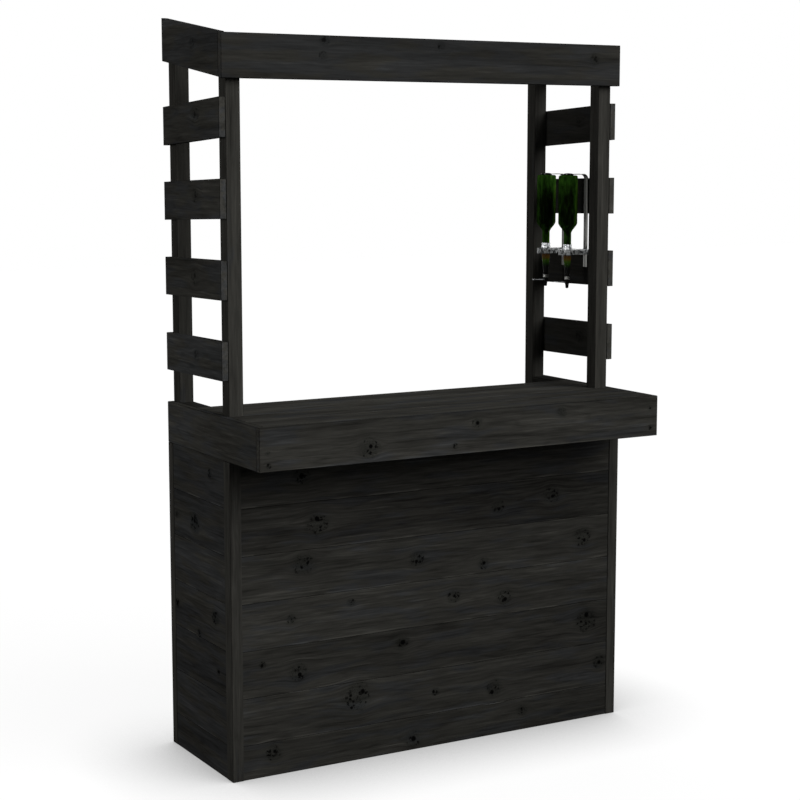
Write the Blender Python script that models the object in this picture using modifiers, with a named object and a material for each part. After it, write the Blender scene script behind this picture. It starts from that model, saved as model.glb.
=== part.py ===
"""Outdoor garden bar in black-stained timber, in metres, +Z up, front towards -Y."""
from math import asin, cos, pi, radians, sin

import bmesh
import bpy
from mathutils import Vector

# Clear space between pieces that touch, and the eased edges of planed timber and of strip metal
gap = 0.0003
arris = 0.0012
metalArris = 0.0004

# Overall size and the thickness of the boards
halfWidth = 0.604
halfDepth = 0.283
board = 0.018

# Square posts, set back from the front of the counter
post = 0.040
postSetBack = 0.213
postTopBelowFascia = 0.015

# Counter: aprons on three sides, and a top that stops short of the back
counterHeight = 0.944
apronHeight = 0.110
counterDepth = 0.413
batten = 0.042

# Boarded base: corner studs, back strips and the boards between them, set back from both
counterOverhang = 0.176
cornerStud = 0.031
claddingSetBack = 0.005
floorClearance = 0.004
frameLift = 0.030

# Shelves on bearers between the posts
bearerHeights = {"low": 0.090, "middle": 0.450}

# Slats up the outside of the posts, number 1 at the top
slatCount = 4
slatHeight = 0.100
slatGap = 0.1023
slatsAboveCounter = 0.0873

# How far each slat's front end and its back end stand above their level places
slatLifts = {
    "left": [(0.0035, -0.0154), (0.0048, -0.0080), (0.0043, -0.0030), (0.0034, -0.0017)],
    "right": [(0.0010, -0.0164), (-0.0014, -0.0100), (-0.0025, -0.0086), (-0.0073, -0.0130)],
}

# Fascia: level in front, rising towards the back at the sides
fasciaAboveSlats = 0.0478
fasciaHeight = 0.111
fasciaRise = {"left": 0.055, "right": 0.021}

# Bottle dispenser on the inside of the right slats, its clamps across the third slat
bottleReach = 0.064
bottleSpacing = 0.1075
firstBottleY = 0.0375
clampSlat = 3
clampBelowSlatTop = 0.0175
clampThickness = 0.0155
clampRing = 0.0165
clampTab = 0.033
halfTab = 0.006
armMargin = 0.004

# Strip behind each bottle, bent over its base, and the pad between them
stripWidth = 0.018
stripThickness = 0.003
stripBelowClamp = 0.036
bendRadius = 0.016
padRadius = 0.013
padThickness = 0.0045

# Bottle, hanging neck down
bottleHeight = 0.2055
bottleRadius = 0.027
neckHeight = 0.0495
neckRadius = 0.0098
shoulderHeight = 0.022
shoulderRoundness = 0.8
glassWall = 0.0025
glassBase = 0.004
baseRounding = 0.005

# Measure under each bottle, from its stopper down to its nozzle
stopperLength = 0.022
stopperEase = 0.003
collarWall = 0.0017
collarHeight = 0.014
cupFloor = 0.0025
spindleRadius = 0.0080
chamberRadius = 0.0145
chamberRim = 0.008
chamberTaper = 0.0005
chamberFootRadius = 0.0075
chamberLength = 0.0617
ringRadius = 0.0079
ringLength = 0.008
nozzleTopRadius = 0.0056
nozzleBendRadius = 0.0046
nozzleBend = 0.008
nozzleTipRadius = 0.0030
nozzleLength = 0.0235

# Straight steps in a full turn, and in the smaller arcs
bottleSteps = 28
measureSteps = 20
holeSteps = 16
arcSteps = 6
shoulderSteps = 4

# Places worked out from the sizes above
frontY = -halfDepth
backY = halfDepth
boardInnerX = halfWidth - board
postOuterX = boardInnerX - gap
postInnerX = postOuterX - post
postFrontY = frontY + postSetBack
backPostFrontY = backY - post
baseFrontY = frontY + counterOverhang
counterBackY = frontY + counterDepth
apronLow = counterHeight - apronHeight
underApron = apronLow - gap
topLow = counterHeight - board
battenHigh = topLow - gap
battenLow = battenHigh - batten
slatLows = [
    counterHeight + slatsAboveCounter + (slatCount - number) * (slatHeight + slatGap)
    for number in range(1, slatCount + 1)
]
fasciaLow = slatLows[0] + slatHeight + fasciaAboveSlats
fasciaHigh = fasciaLow + fasciaHeight
fasciaFrontY = postFrontY - gap - board

# Heights on the dispenser, measured up from the underside of its clamps
clampLow = slatLows[clampSlat - 1] + slatHeight - clampBelowSlatTop
clampHigh = clampThickness + gap
cupHigh = clampHigh + cupFloor
bottleFoot = cupHigh + gap
bottleTop = bottleFoot + bottleHeight
padLow = bottleTop + gap
padHigh = padLow + padThickness
stripHigh = padHigh + stripThickness
bottleX = boardInnerX - bottleReach
wallReach = bottleReach - gap

sides = {"left": -1, "right": 1}
timberColour = (0.022, 0.021, 0.019)
steel = {"colour": (0.55, 0.56, 0.57), "roughness": 0.3, "metallic": 1.0}
clearPlastic = {"colour": (0.75, 0.77, 0.78), "roughness": 0.15, "alpha": 0.5}
greenGlass = {"colour": (0.02, 0.12, 0.035), "roughness": 0.08, "alpha": 0.6}
rubber = {"colour": (0.02, 0.02, 0.02), "roughness": 0.6}

for old in list(bpy.data.objects):
    bpy.data.objects.remove(old)
barCollection = bpy.data.collections.new("garden_bar")
cutterCollection = bpy.data.collections.new("cutters")
bpy.context.scene.collection.children.link(barCollection)
bpy.context.scene.collection.children.link(cutterCollection)


def makeMaterial(name, colour, roughness, metallic, alpha):
    material = bpy.data.materials.new(name)
    material.use_nodes = True
    material.diffuse_color = (*colour, 1.0)
    shader = material.node_tree.nodes["Principled BSDF"]
    shader.inputs["Base Color"].default_value = (*colour, 1.0)
    shader.inputs["Roughness"].default_value = roughness
    shader.inputs["Metallic"].default_value = metallic
    shader.inputs["Alpha"].default_value = alpha
    return material


def addPart(name, data, place, colour=timberColour, roughness=0.7, metallic=0.0, alpha=1.0):
    part = bpy.data.objects.new(name, data)
    part.location = place
    data.materials.append(makeMaterial(name, colour, roughness, metallic, alpha))
    barCollection.objects.link(part)
    return part


def boxMesh(name, size):
    bm = bmesh.new()
    corners = bmesh.ops.create_cube(bm, size=1.0)["verts"]
    bmesh.ops.scale(bm, vec=size, verts=corners)
    mesh = bpy.data.meshes.new(name)
    bm.to_mesh(mesh)
    bm.free()
    return mesh


def easeEdges(part, width):
    bevel = part.modifiers.new("eased edges", "BEVEL")
    bevel.width = width
    bevel.segments = 1
    bevel.limit_method = "ANGLE"
    bevel.angle_limit = radians(40)


def middleAndSize(x, y, z):
    low = Vector((x[0], y[0], z[0]))
    high = Vector((x[1], y[1], z[1]))
    return (low + high) / 2, high - low


def plank(name, x, y, z):
    middle, size = middleAndSize(x, y, z)
    part = addPart(name, boxMesh(name, size), middle)
    easeEdges(part, arris)
    return part


def cutBox(part, name, x, y, z):
    """Cuts a box out of a part, before its edges are eased."""
    middle, size = middleAndSize(x, y, z)
    cutter = bpy.data.objects.new(name, boxMesh(name, size))
    cutter.location = middle
    cutter.hide_render = True
    cutter.display_type = "WIRE"
    cutterCollection.objects.link(cutter)
    cut = part.modifiers.new(name, "BOOLEAN")
    cut.operation = "DIFFERENCE"
    cut.solver = "EXACT"
    cut.object = cutter
    part.modifiers.move(len(part.modifiers) - 1, 0)


def flatOutline(name, outlines, thickness, place, turn, easing, look):
    """A plate of any outline: closed 2D curves, drawn out by half the thickness each way."""
    curve = bpy.data.curves.new(name, "CURVE")
    curve.dimensions = "2D"
    curve.fill_mode = "BOTH"
    curve.extrude = thickness / 2
    for outline in outlines:
        spline = curve.splines.new("POLY")
        spline.points.add(len(outline) - 1)
        for point, (a, b) in zip(spline.points, outline):
            point.co = (a, b, 0.0, 1.0)
        spline.use_cyclic_u = True
    part = addPart(name, curve, place, **look)
    part.rotation_euler = turn
    weld = part.modifiers.new("joined caps", "WELD")
    weld.merge_threshold = 0.0001
    easeEdges(part, easing)


def turned(name, profile, place, steps, look):
    """A turned shape: (radius, height) points from the axis down the outside and back to the axis."""
    bm = bmesh.new()
    points = [bm.verts.new((radius, 0.0, height)) for radius, height in profile]
    for upper, lower in zip(points, points[1:]):
        bm.edges.new((upper, lower))
    mesh = bpy.data.meshes.new(name)
    bm.to_mesh(mesh)
    bm.free()
    part = addPart(name, mesh, place, **look)
    screw = part.modifiers.new("turned", "SCREW")
    screw.steps = steps
    screw.render_steps = steps
    screw.use_merge_vertices = True
    screw.merge_threshold = 0.00001
    screw.use_smooth_shade = True


def beside(sign, inner, outer):
    """X limits, low first, between two distances from the middle on one side."""
    return sorted((sign * inner, sign * outer))


def arc(centreX, centreY, radius, start, end, steps):
    turns = [start + (end - start) * step / steps for step in range(steps + 1)]
    return [(centreX + radius * cos(turn), centreY + radius * sin(turn)) for turn in turns]


def makePosts(side, sign):
    slope = fasciaRise[side] / (backY - fasciaFrontY)
    frontTop = fasciaHigh - postTopBelowFascia
    backTop = frontTop + slope * (backPostFrontY - postFrontY)
    x = beside(sign, postInnerX, postOuterX)
    plank(f"post_front_{side}", x, (postFrontY, postFrontY + post), (0.0, frontTop))
    plank(f"post_back_{side}", x, (backPostFrontY, backY), (0.0, backTop))


def slopingBoard(name, sign, start, end, height):
    """A board on the outside of the posts, its underside at one height in front and another at the back."""
    outline = [
        (postFrontY, start),
        (backY, end),
        (backY, end + height),
        (postFrontY, start + height),
    ]
    place = (sign * (halfWidth - board / 2), 0.0, 0.0)
    flatOutline(name, [outline], board, place, (pi / 2, 0.0, pi / 2), arris, {})


def makeSlats(side, sign):
    for number, (low, lifts) in enumerate(zip(slatLows, slatLifts[side]), start=1):
        slopingBoard(f"slat_{side}_{number}", sign, low + lifts[0], low + lifts[1], slatHeight)


def makeSideFascia(side, sign):
    """Starts level with the front fascia and climbs evenly to the back."""
    slope = fasciaRise[side] / (backY - fasciaFrontY)
    start = fasciaLow + slope * (postFrontY - fasciaFrontY)
    slopingBoard(f"fascia_{side}", sign, start, fasciaLow + fasciaRise[side], fasciaHeight)


def notchForFrontPost(part, name, side, sign, z):
    x = beside(sign, postInnerX - gap, halfWidth)
    y = (postFrontY - gap, postFrontY + post + gap)
    cutBox(part, f"{name}_notch_{side}", x, y, (z[0] - board, z[1] + board))


def makeCounter():
    behindFrontY = frontY + board + gap
    topZ = (topLow, counterHeight)
    plank("apron_front", (-halfWidth, halfWidth), (frontY, frontY + board), (apronLow, counterHeight))
    top = plank("counter_top", (-postOuterX, postOuterX), (behindFrontY, counterBackY), topZ)
    for side, sign in sides.items():
        notchForFrontPost(top, "counter_top", side, sign, topZ)
        plank(
            f"apron_{side}", beside(sign, boardInnerX, halfWidth),
            (behindFrontY, backY), (apronLow, counterHeight),
        )
        overRail = beside(sign, postInnerX, postOuterX)
        plank(f"counter_cap_{side}", overRail, (counterBackY + gap, backPostFrontY - gap), topZ)
        betweenPosts = (postFrontY + post + gap, backPostFrontY - gap)
        plank(f"side_rail_{side}", overRail, betweenPosts, (battenLow, battenHigh))
    railEnd = postInnerX - gap
    railY = (counterBackY - batten, counterBackY)
    plank("counter_rail", (-railEnd, railEnd), railY, (battenLow, battenHigh))


def makeCornerStud(side, sign):
    """The stud stops under the side apron, but its inner part runs on up to the counter."""
    inner = halfWidth - cornerStud
    outline = [
        (sign * inner, 0.0),
        (sign * halfWidth, 0.0),
        (sign * halfWidth, underApron),
        (sign * postOuterX, underApron),
        (sign * postOuterX, battenHigh),
        (sign * inner, battenHigh),
    ]
    depth = postFrontY - gap - baseFrontY
    place = (0.0, baseFrontY + depth / 2, 0.0)
    flatOutline(f"corner_stud_{side}", [outline], depth, place, (pi / 2, 0.0, 0.0), arris, {})


def makeBase():
    frameX = halfWidth - cornerStud - gap
    claddingY = (baseFrontY + claddingSetBack, baseFrontY + board)
    plank("cladding_front", (-frameX, frameX), claddingY, (floorClearance, battenHigh))
    frameY = (baseFrontY + board + gap, postFrontY - gap)
    frame = plank("front_frame", (-frameX, frameX), frameY, (frameLift, battenHigh))
    through = (frameY[0] - board, frameY[1] + board)
    for side, sign in sides.items():
        bay = beside(sign, batten / 2, frameX - batten)
        cutBox(frame, f"frame_bay_{side}", bay, through, (frameLift + batten, battenLow))
        makeCornerStud(side, sign)
        stripX = beside(sign, boardInnerX, halfWidth)
        plank(f"back_strip_{side}", stripX, (backY - cornerStud, backY), (0.0, underApron))
        boardsX = beside(sign, boardInnerX, halfWidth - claddingSetBack)
        boardsY = (postFrontY, backY - cornerStud - gap)
        plank(f"cladding_{side}", boardsX, boardsY, (floorClearance, underApron))


def makeShelf(level, low):
    z = (low + batten + gap, low + batten + gap + board)
    shelf = plank(f"shelf_{level}", (-postOuterX, postOuterX), (postFrontY, backPostFrontY - gap), z)
    for side, sign in sides.items():
        notchForFrontPost(shelf, f"shelf_{level}", side, sign, z)
        x = beside(sign, postInnerX, postOuterX)
        betweenPosts = (postFrontY + post + gap, backPostFrontY - gap)
        plank(f"bearer_{level}_{side}", x, betweenPosts, (low, low + batten))


def bottleProfile():
    """Outside of the bottle from its base on top down to the mouth, then the inside back up."""
    shoulderHigh = bottleFoot + neckHeight + shoulderHeight
    spread = bottleRadius - neckRadius
    outside = [(0.0, bottleTop), (bottleRadius - baseRounding, bottleTop)]
    outside += [(bottleRadius, bottleTop - baseRounding)]
    for step in range(shoulderSteps + 1):
        share = step / shoulderSteps
        radius = neckRadius + spread * cos(share * pi / 2) ** shoulderRoundness
        outside.append((radius, shoulderHigh - shoulderHeight * share))
    outside += [(neckRadius, bottleFoot)]
    inside = [(radius - glassWall, height) for radius, height in reversed(outside[3:])]
    inside += [(bottleRadius - glassWall, bottleTop - glassBase), (0.0, bottleTop - glassBase)]
    return outside + inside


def measureProfile():
    """One turned piece: stopper, collar cup, spindle through the clamp, chamber, ring and nozzle."""
    stopper = neckRadius - glassWall - gap
    stopperHigh = cupHigh + stopperLength
    cupInner = neckRadius + gap
    collar = neckRadius + collarWall
    collarHigh = clampHigh + collarHeight
    chamberLow = -gap - chamberLength
    ringLow = chamberLow - ringLength
    return [
        (0.0, stopperHigh),
        (stopper - stopperEase / 2, stopperHigh),
        (stopper, stopperHigh - stopperEase),
        (stopper, cupHigh),
        (cupInner, cupHigh),
        (cupInner, collarHigh),
        (collar, collarHigh),
        (collar, clampHigh),
        (spindleRadius, clampHigh),
        (spindleRadius, -gap),
        (chamberRadius, -gap),
        (chamberRadius - chamberTaper, -gap - chamberRim),
        (chamberFootRadius, chamberLow),
        (ringRadius, chamberLow),
        (ringRadius, ringLow),
        (nozzleTopRadius, ringLow),
        (nozzleBendRadius, ringLow - nozzleBend),
        (nozzleTipRadius, ringLow - nozzleLength),
        (0.0, ringLow - nozzleLength),
    ]


def makeClamp(number, y):
    """Flat arm from the wall to a ring round the spindle, with a tab beyond it and a notch for the strip."""
    halfArm = stripWidth / 2 + armMargin
    armTurn = asin(halfArm / clampRing)
    tabTurn = asin(halfTab / clampRing)
    notchX = wallReach - stripThickness - gap
    halfNotch = stripWidth / 2 + gap
    outline = arc(0.0, 0.0, clampRing, armTurn, pi - tabTurn, arcSteps)
    outline += [(-clampTab, halfTab), (-clampTab, -halfTab)]
    outline += arc(0.0, 0.0, clampRing, pi + tabTurn, 2 * pi - armTurn, arcSteps)
    outline += [(wallReach, -halfArm), (wallReach, -halfNotch), (notchX, -halfNotch)]
    outline += [(notchX, halfNotch), (wallReach, halfNotch), (wallReach, halfArm)]
    wholeTurn = arc(0.0, 0.0, spindleRadius + gap, 0.0, 2 * pi, holeSteps)
    place = (bottleX, y, clampLow + clampThickness / 2)
    flatOutline(
        f"clamp_{number}", [outline, wholeTurn[:-1]], clampThickness,
        place, (0.0, 0.0, 0.0), metalArris, clearPlastic,
    )


def makeHolder(number, y):
    """Flat strip up the wall that bends over the bottle and ends above the pad on its base."""
    bendX = wallReach - bendRadius
    bendZ = stripHigh - bendRadius
    inner = bendRadius - stripThickness
    outline = [(wallReach, -stripBelowClamp)]
    outline += arc(bendX, bendZ, bendRadius, 0.0, pi / 2, arcSteps)
    outline += [(-padRadius, stripHigh), (-padRadius, padHigh)]
    outline += arc(bendX, bendZ, inner, pi / 2, 0.0, arcSteps)
    outline += [(wallReach - stripThickness, -stripBelowClamp)]
    flatOutline(
        f"holder_{number}", [outline], stripWidth,
        (bottleX, y, clampLow), (pi / 2, 0.0, 0.0), metalArris, steel,
    )


def makeDispenser():
    pad = [(0.0, padHigh - gap), (padRadius, padHigh - gap), (padRadius, padLow), (0.0, padLow)]
    for number, y in ((1, firstBottleY + bottleSpacing), (2, firstBottleY)):
        place = (bottleX, y, clampLow)
        turned(f"bottle_{number}", bottleProfile(), place, bottleSteps, greenGlass)
        turned(f"measure_{number}", measureProfile(), place, measureSteps, clearPlastic)
        turned(f"pad_{number}", pad, place, measureSteps, rubber)
        makeClamp(number, y)
        makeHolder(number, y)


for side, sign in sides.items():
    makePosts(side, sign)
    makeSlats(side, sign)
    makeSideFascia(side, sign)
fasciaY = (fasciaFrontY, postFrontY - gap)
plank("fascia_front", (-halfWidth, halfWidth), fasciaY, (fasciaLow, fasciaHigh))
makeCounter()
makeBase()
for level, low in bearerHeights.items():
    makeShelf(level, low)
makeDispenser()
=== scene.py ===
from math import cos, pi, radians, sin

import bmesh
import bpy
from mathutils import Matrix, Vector


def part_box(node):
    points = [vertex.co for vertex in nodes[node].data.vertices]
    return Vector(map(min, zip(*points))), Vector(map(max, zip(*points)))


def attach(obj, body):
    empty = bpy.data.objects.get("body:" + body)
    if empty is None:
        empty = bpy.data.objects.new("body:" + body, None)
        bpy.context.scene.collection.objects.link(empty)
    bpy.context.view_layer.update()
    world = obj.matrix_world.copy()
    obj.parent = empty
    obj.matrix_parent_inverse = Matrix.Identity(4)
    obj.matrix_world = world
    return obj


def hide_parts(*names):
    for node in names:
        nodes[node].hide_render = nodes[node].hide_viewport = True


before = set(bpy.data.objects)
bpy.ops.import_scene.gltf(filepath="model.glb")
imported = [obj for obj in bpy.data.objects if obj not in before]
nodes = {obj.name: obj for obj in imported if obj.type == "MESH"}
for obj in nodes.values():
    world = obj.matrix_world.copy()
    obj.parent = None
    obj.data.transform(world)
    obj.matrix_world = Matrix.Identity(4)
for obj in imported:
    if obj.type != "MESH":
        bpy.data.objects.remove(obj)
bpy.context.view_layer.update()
print("frame loaded,", len(nodes), "nodes")


# shader maths written as plain maths: one socket of a material, and the nodes that hang on it
class Shade:
    def __init__(self, tree, socket=None):
        self.tree = tree
        self.socket = socket

    def node(self, kind, settings=None, sockets=None, output=0):
        # its settings first, such as an operation or a ramp's stops, then each socket's value or link
        made = self.tree.nodes.new(kind)
        for name, value in (settings or {}).items():
            if name == "stops":
                fillRamp(made.color_ramp, value)
            else:
                setattr(made, name, value)
        for name, value in (sockets or {}).items():
            if isinstance(value, Shade):
                self.tree.links.new(value.socket, made.inputs[name])
            else:
                made.inputs[name].default_value = value
        return Shade(self.tree, made.outputs[output])

    def output(self, name):
        # another output of the same node
        return Shade(self.tree, self.socket.node.outputs[name])

    def maths(self, operation, *others):
        return self.node("ShaderNodeMath", {"operation": operation}, dict(enumerate((self, *others))))

    def __add__(self, other):
        return self.maths("ADD", other)

    __radd__ = __add__

    def __sub__(self, other):
        return self.maths("SUBTRACT", other)

    def __rsub__(self, other):
        return self.node("ShaderNodeMath", {"operation": "SUBTRACT"}, {0: other, 1: self})

    def __mul__(self, other):
        return self.maths("MULTIPLY", other)

    __rmul__ = __mul__

    def step(self, low, high):
        # 0 at low, 1 at high, smooth between them, also where low is the larger
        return self.node(
            "ShaderNodeMapRange", {"interpolation_type": "SMOOTHSTEP"},
            {"Value": self, "From Min": low, "From Max": high},
        )

    def blend(self, first, second):
        # a Mix node's colours are its sockets 6 and 7, and its mixed colour is output 2
        return self.node("ShaderNodeMix", {"data_type": "RGBA"}, {0: self, 6: first, 7: second}, 2)

    def vector(self, operation, *others, output=0):
        settings = {"operation": operation}
        return self.node("ShaderNodeVectorMath", settings, dict(enumerate((self, *others))), output)

    def length(self):
        return self.vector("LENGTH", output="Value")

    def scaled(self, factor):
        return self.node("ShaderNodeVectorMath", {"operation": "SCALE"}, {0: self, "Scale": factor})

    def parts(self):
        # x, y and z of a vector, each as a value
        split = self.node("ShaderNodeSeparateXYZ", None, {0: self})
        return [split.output(axis) for axis in "XYZ"]

    def noise(self, scale, detail=2.0, roughness=0.5):
        # the socket is a place, and scale has a number for each axis
        return self.node(
            "ShaderNodeTexNoise", {"noise_dimensions": "3D"},
            {"Vector": self.vector("MULTIPLY", scale), "Scale": 1.0, "Detail": detail, "Roughness": roughness},
        )


def fillRamp(ramp, stops):
    while len(ramp.elements) < len(stops):
        ramp.elements.new(1.0)
    for element, (position, colour) in zip(ramp.elements, stops):
        element.position = position
        element.color = (*colour, 1.0)


def newMaterial(name, sockets):
    material = bpy.data.materials.new(name)
    material.use_nodes = True
    tree = material.node_tree
    shader = tree.nodes["Principled BSDF"]
    for socket, value in sockets.items():
        shader.inputs[socket].default_value = value
    return material, Shade(tree), shader


def feed(shader, socket, value):
    value.tree.links.new(value.socket, shader.inputs[socket])


# black-stained softwood; each pair of scales is for a noise along and across the grain
stainLook = {
    "stops": [(0.18, 0.0100), (0.42, 0.0195), (0.60, 0.0275), (0.86, 0.0470)],  # darkest to lightest streaks
    "warm": (1.00, 0.972, 0.868),
    "cool": (0.946, 0.966, 0.972),
    "wideScales": (1.7, 21.0), "wideShare": 0.55,
    "middleScales": (6.5, 95.0), "middleShare": 1.05, "middleHeight": 0.8,
    "fineScales": (15.0, 270.0), "fineShare": 0.95, "fineHeight": 0.5,
    "streakScales": (4.0, 150.0),
    "paleStreak": 0.26, "paleStreakSteps": (0.60, 0.76),
    "darkStreak": 0.20, "darkStreakSteps": (0.40, 0.24),
    "coolScales": (7.0, 34.0), "coolSteps": (0.50, 0.66),
    "rings": 9.0, "ringShare": 0.14, "ringSteps": (0.20, 0.0),
    "sapwoodScales": (9.0, 2.0), "sapwood": 0.34, "sapwoodSteps": (0.44, 0.56),  # pale lower edges of boards
    "boardShift": (2.37, 0.61),  # how far the next board's grain lies along and through
    "lightEdgeSteps": (0.0055, 0.0015),
    "paintedEdgeShade": 0.50, "edgeSteps": (0.97, 0.90),  # painted shade: eased edges are darkened, so the arris that the lamps light looks dark
    "facingSteps": (0.90, 0.98),
    "roughness": 0.70, "roughnessChange": 0.3,
    "bump": 0.30, "bumpHeight": 0.0010,
}
knotLook = {
    "length": 1.1, "depth": 2.5,  # in radii of the knot, along the grain and into the board
    "spotDepth": 4,
    "pull": 0.70, "pullFade": -0.45,  # how far the grain bends round a knot, and how soon that fades
    "dark": (0.0010, 0.0010, 0.0010, 1.0),
    "smudge": (0.64, 0.68, 0.67), "smudgeShare": 0.63, "smudgeScales": (46.0, 46.0, 46.0),
    "speckScale": 105.0, "speckSteps": (0.60, 0.30), "speckLot": (0.47, 0.55),
    "wobbleScales": (210.0, 210.0, 210.0), "wobble": 0.016,
    "gritScales": (330.0, 330.0, 330.0), "gritShare": 0.70, "gritSteps": (0.52, 0.70),
    "smudgeReach": (1.80, 0.60), "gritReach": (1.45, 0.85), "speckReach": (1.25, 0.95), "spotReach": (1.50, 0.85),
    "raggedness": 1.1, "spotGrit": 1.2, "spotSmudge": 0.8,
    "dent": 0.5,
}

# boards with tongues and grooves, nearly level with the studs beside them
boardShape = {
    "pitch": 0.1242,
    "firstJoint": 0.091,
    "gap": 0.0008,
    "tongue": 0.0052,
    "tongueShare": (0.40, 0.72),
    "slack": 0.82,  # the tongue's thickness, as a share of its groove's
    "frontEase": 0.0015,
    "backEase": 0.0006,
    "forward": 0.0030,  # past the node's front
    "outwards": 0.0040,  # past the node's outer side
    "drop": 0.0034,  # below the node's foot
}
# joints make each board's grain start anew: across the boarding, and across the counter and shelves
boardJoints = {
    "axis": 2, "start": boardShape["firstJoint"], "pitch": boardShape["pitch"], "variety": 0.16, "paleEdge": 0.055,
}
topJoints = {"axis": 1, "start": -0.2647, "pitch": 0.0987, "variety": 0.10, "paleEdge": 0.03}

# a knot: its place along the board's face and its height, its radius across the grain, and its largest dark
# spot's shift along and across the grain and that spot's radius
frontKnots = [
    (-0.357, 0.651, 0.025, 0.0, 0.015, 0.0055), (-0.400, 0.782, 0.018, 0.0, 0.0, 0.006),
    (-0.397, 0.551, 0.024, 0.014, 0.004, 0.003), (-0.054, 0.526, 0.018, -0.004, -0.006, 0.004),
    (-0.256, 0.432, 0.010, 0.0, 0.0, 0.002), (0.379, 0.661, 0.022, 0.002, -0.005, 0.004),
    (0.202, 0.643, 0.016, 0.002, -0.006, 0.004), (0.486, 0.528, 0.022, 0.006, -0.008, 0.004),
    (0.156, 0.489, 0.013, 0.0, 0.002, 0.005), (0.059, 0.410, 0.016, 0.002, 0.0, 0.003),
    (0.224, 0.388, 0.019, 0.002, -0.006, 0.005), (-0.432, 0.409, 0.011, 0.0, 0.0, 0.002),
    (-0.100, 0.303, 0.016, 0.0, 0.0, 0.006), (-0.414, 0.264, 0.020, 0.004, -0.005, 0.005),
    (-0.518, 0.299, 0.008, 0.0, 0.0, 0.003), (-0.242, 0.173, 0.032, 0.018, 0.012, 0.006),
    (-0.487, 0.062, 0.018, 0.003, 0.002, 0.004), (-0.067, 0.030, 0.020, 0.0, 0.0, 0.006),
    (0.501, 0.285, 0.026, 0.001, 0.017, 0.006), (0.193, 0.133, 0.019, -0.008, -0.010, 0.005),
    (0.002, 0.151, 0.009, 0.0, 0.0, 0.001), (0.549, 0.157, 0.016, 0.0, 0.0, 0.005),
    (0.286, 0.055, 0.013, 0.0, 0.0, 0.002),
]
apronKnots = [
    (-0.300, 0.870, 0.022, 0.004, 0.005, 0.005), (-0.582, 0.880, 0.006, 0.0, 0.0, 0.002),
    (-0.580, 0.849, 0.006, 0.0, 0.0, 0.002), (0.020, 0.911, 0.013, 0.0, 0.0, 0.005),
    (0.285, 0.922, 0.012, 0.0, 0.0, 0.002), (-0.048, 0.856, 0.007, 0.0, 0.0, 0.0),
    (0.579, 0.911, 0.007, 0.0, 0.0, 0.003), (0.582, 0.857, 0.007, 0.0, 0.0, 0.003),
]
sideKnots = [
    (0.118, 0.640, 0.022, 0.0, 0.006, 0.005), (0.017, 0.788, 0.010, 0.0, 0.0, 0.003),
    (0.235, 0.644, 0.008, 0.0, 0.0, 0.003), (0.240, 0.401, 0.011, 0.0, 0.0, 0.005),
    (-0.006, 0.413, 0.017, 0.0, 0.003, 0.004), (0.096, 0.347, 0.011, 0.0, 0.0, 0.003),
    (-0.021, 0.273, 0.008, 0.0, 0.0, 0.004),
]
slatKnots = [
    (0.075, 1.699, 0.018, 0.0, 0.0, 0.005), (0.079, 1.495, 0.016, 0.0, 0.0, 0.005),
    (0.090, 1.288, 0.018, 0.0, 0.004, 0.006), (0.088, 1.087, 0.014, 0.0, 0.0, 0.003),
    (0.089, 1.876, 0.012, 0.0, 0.0, 0.002),
]
rightSlatKnots = [(0.076, 1.691, 0.016, 0.0, 0.0, 0.005), (0.062, 1.078, 0.016, 0.0, 0.0, 0.004)]
fasciaKnots = [
    (-0.319, 1.883, 0.011, -0.001, 0.002, 0.005), (-0.323, 1.846, 0.010, 0.0, 0.0, 0.0),
    (0.024, 1.880, 0.009, 0.0, 0.0, 0.002), (0.518, 1.857, 0.013, 0.0, 0.0, 0.004),
]

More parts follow.
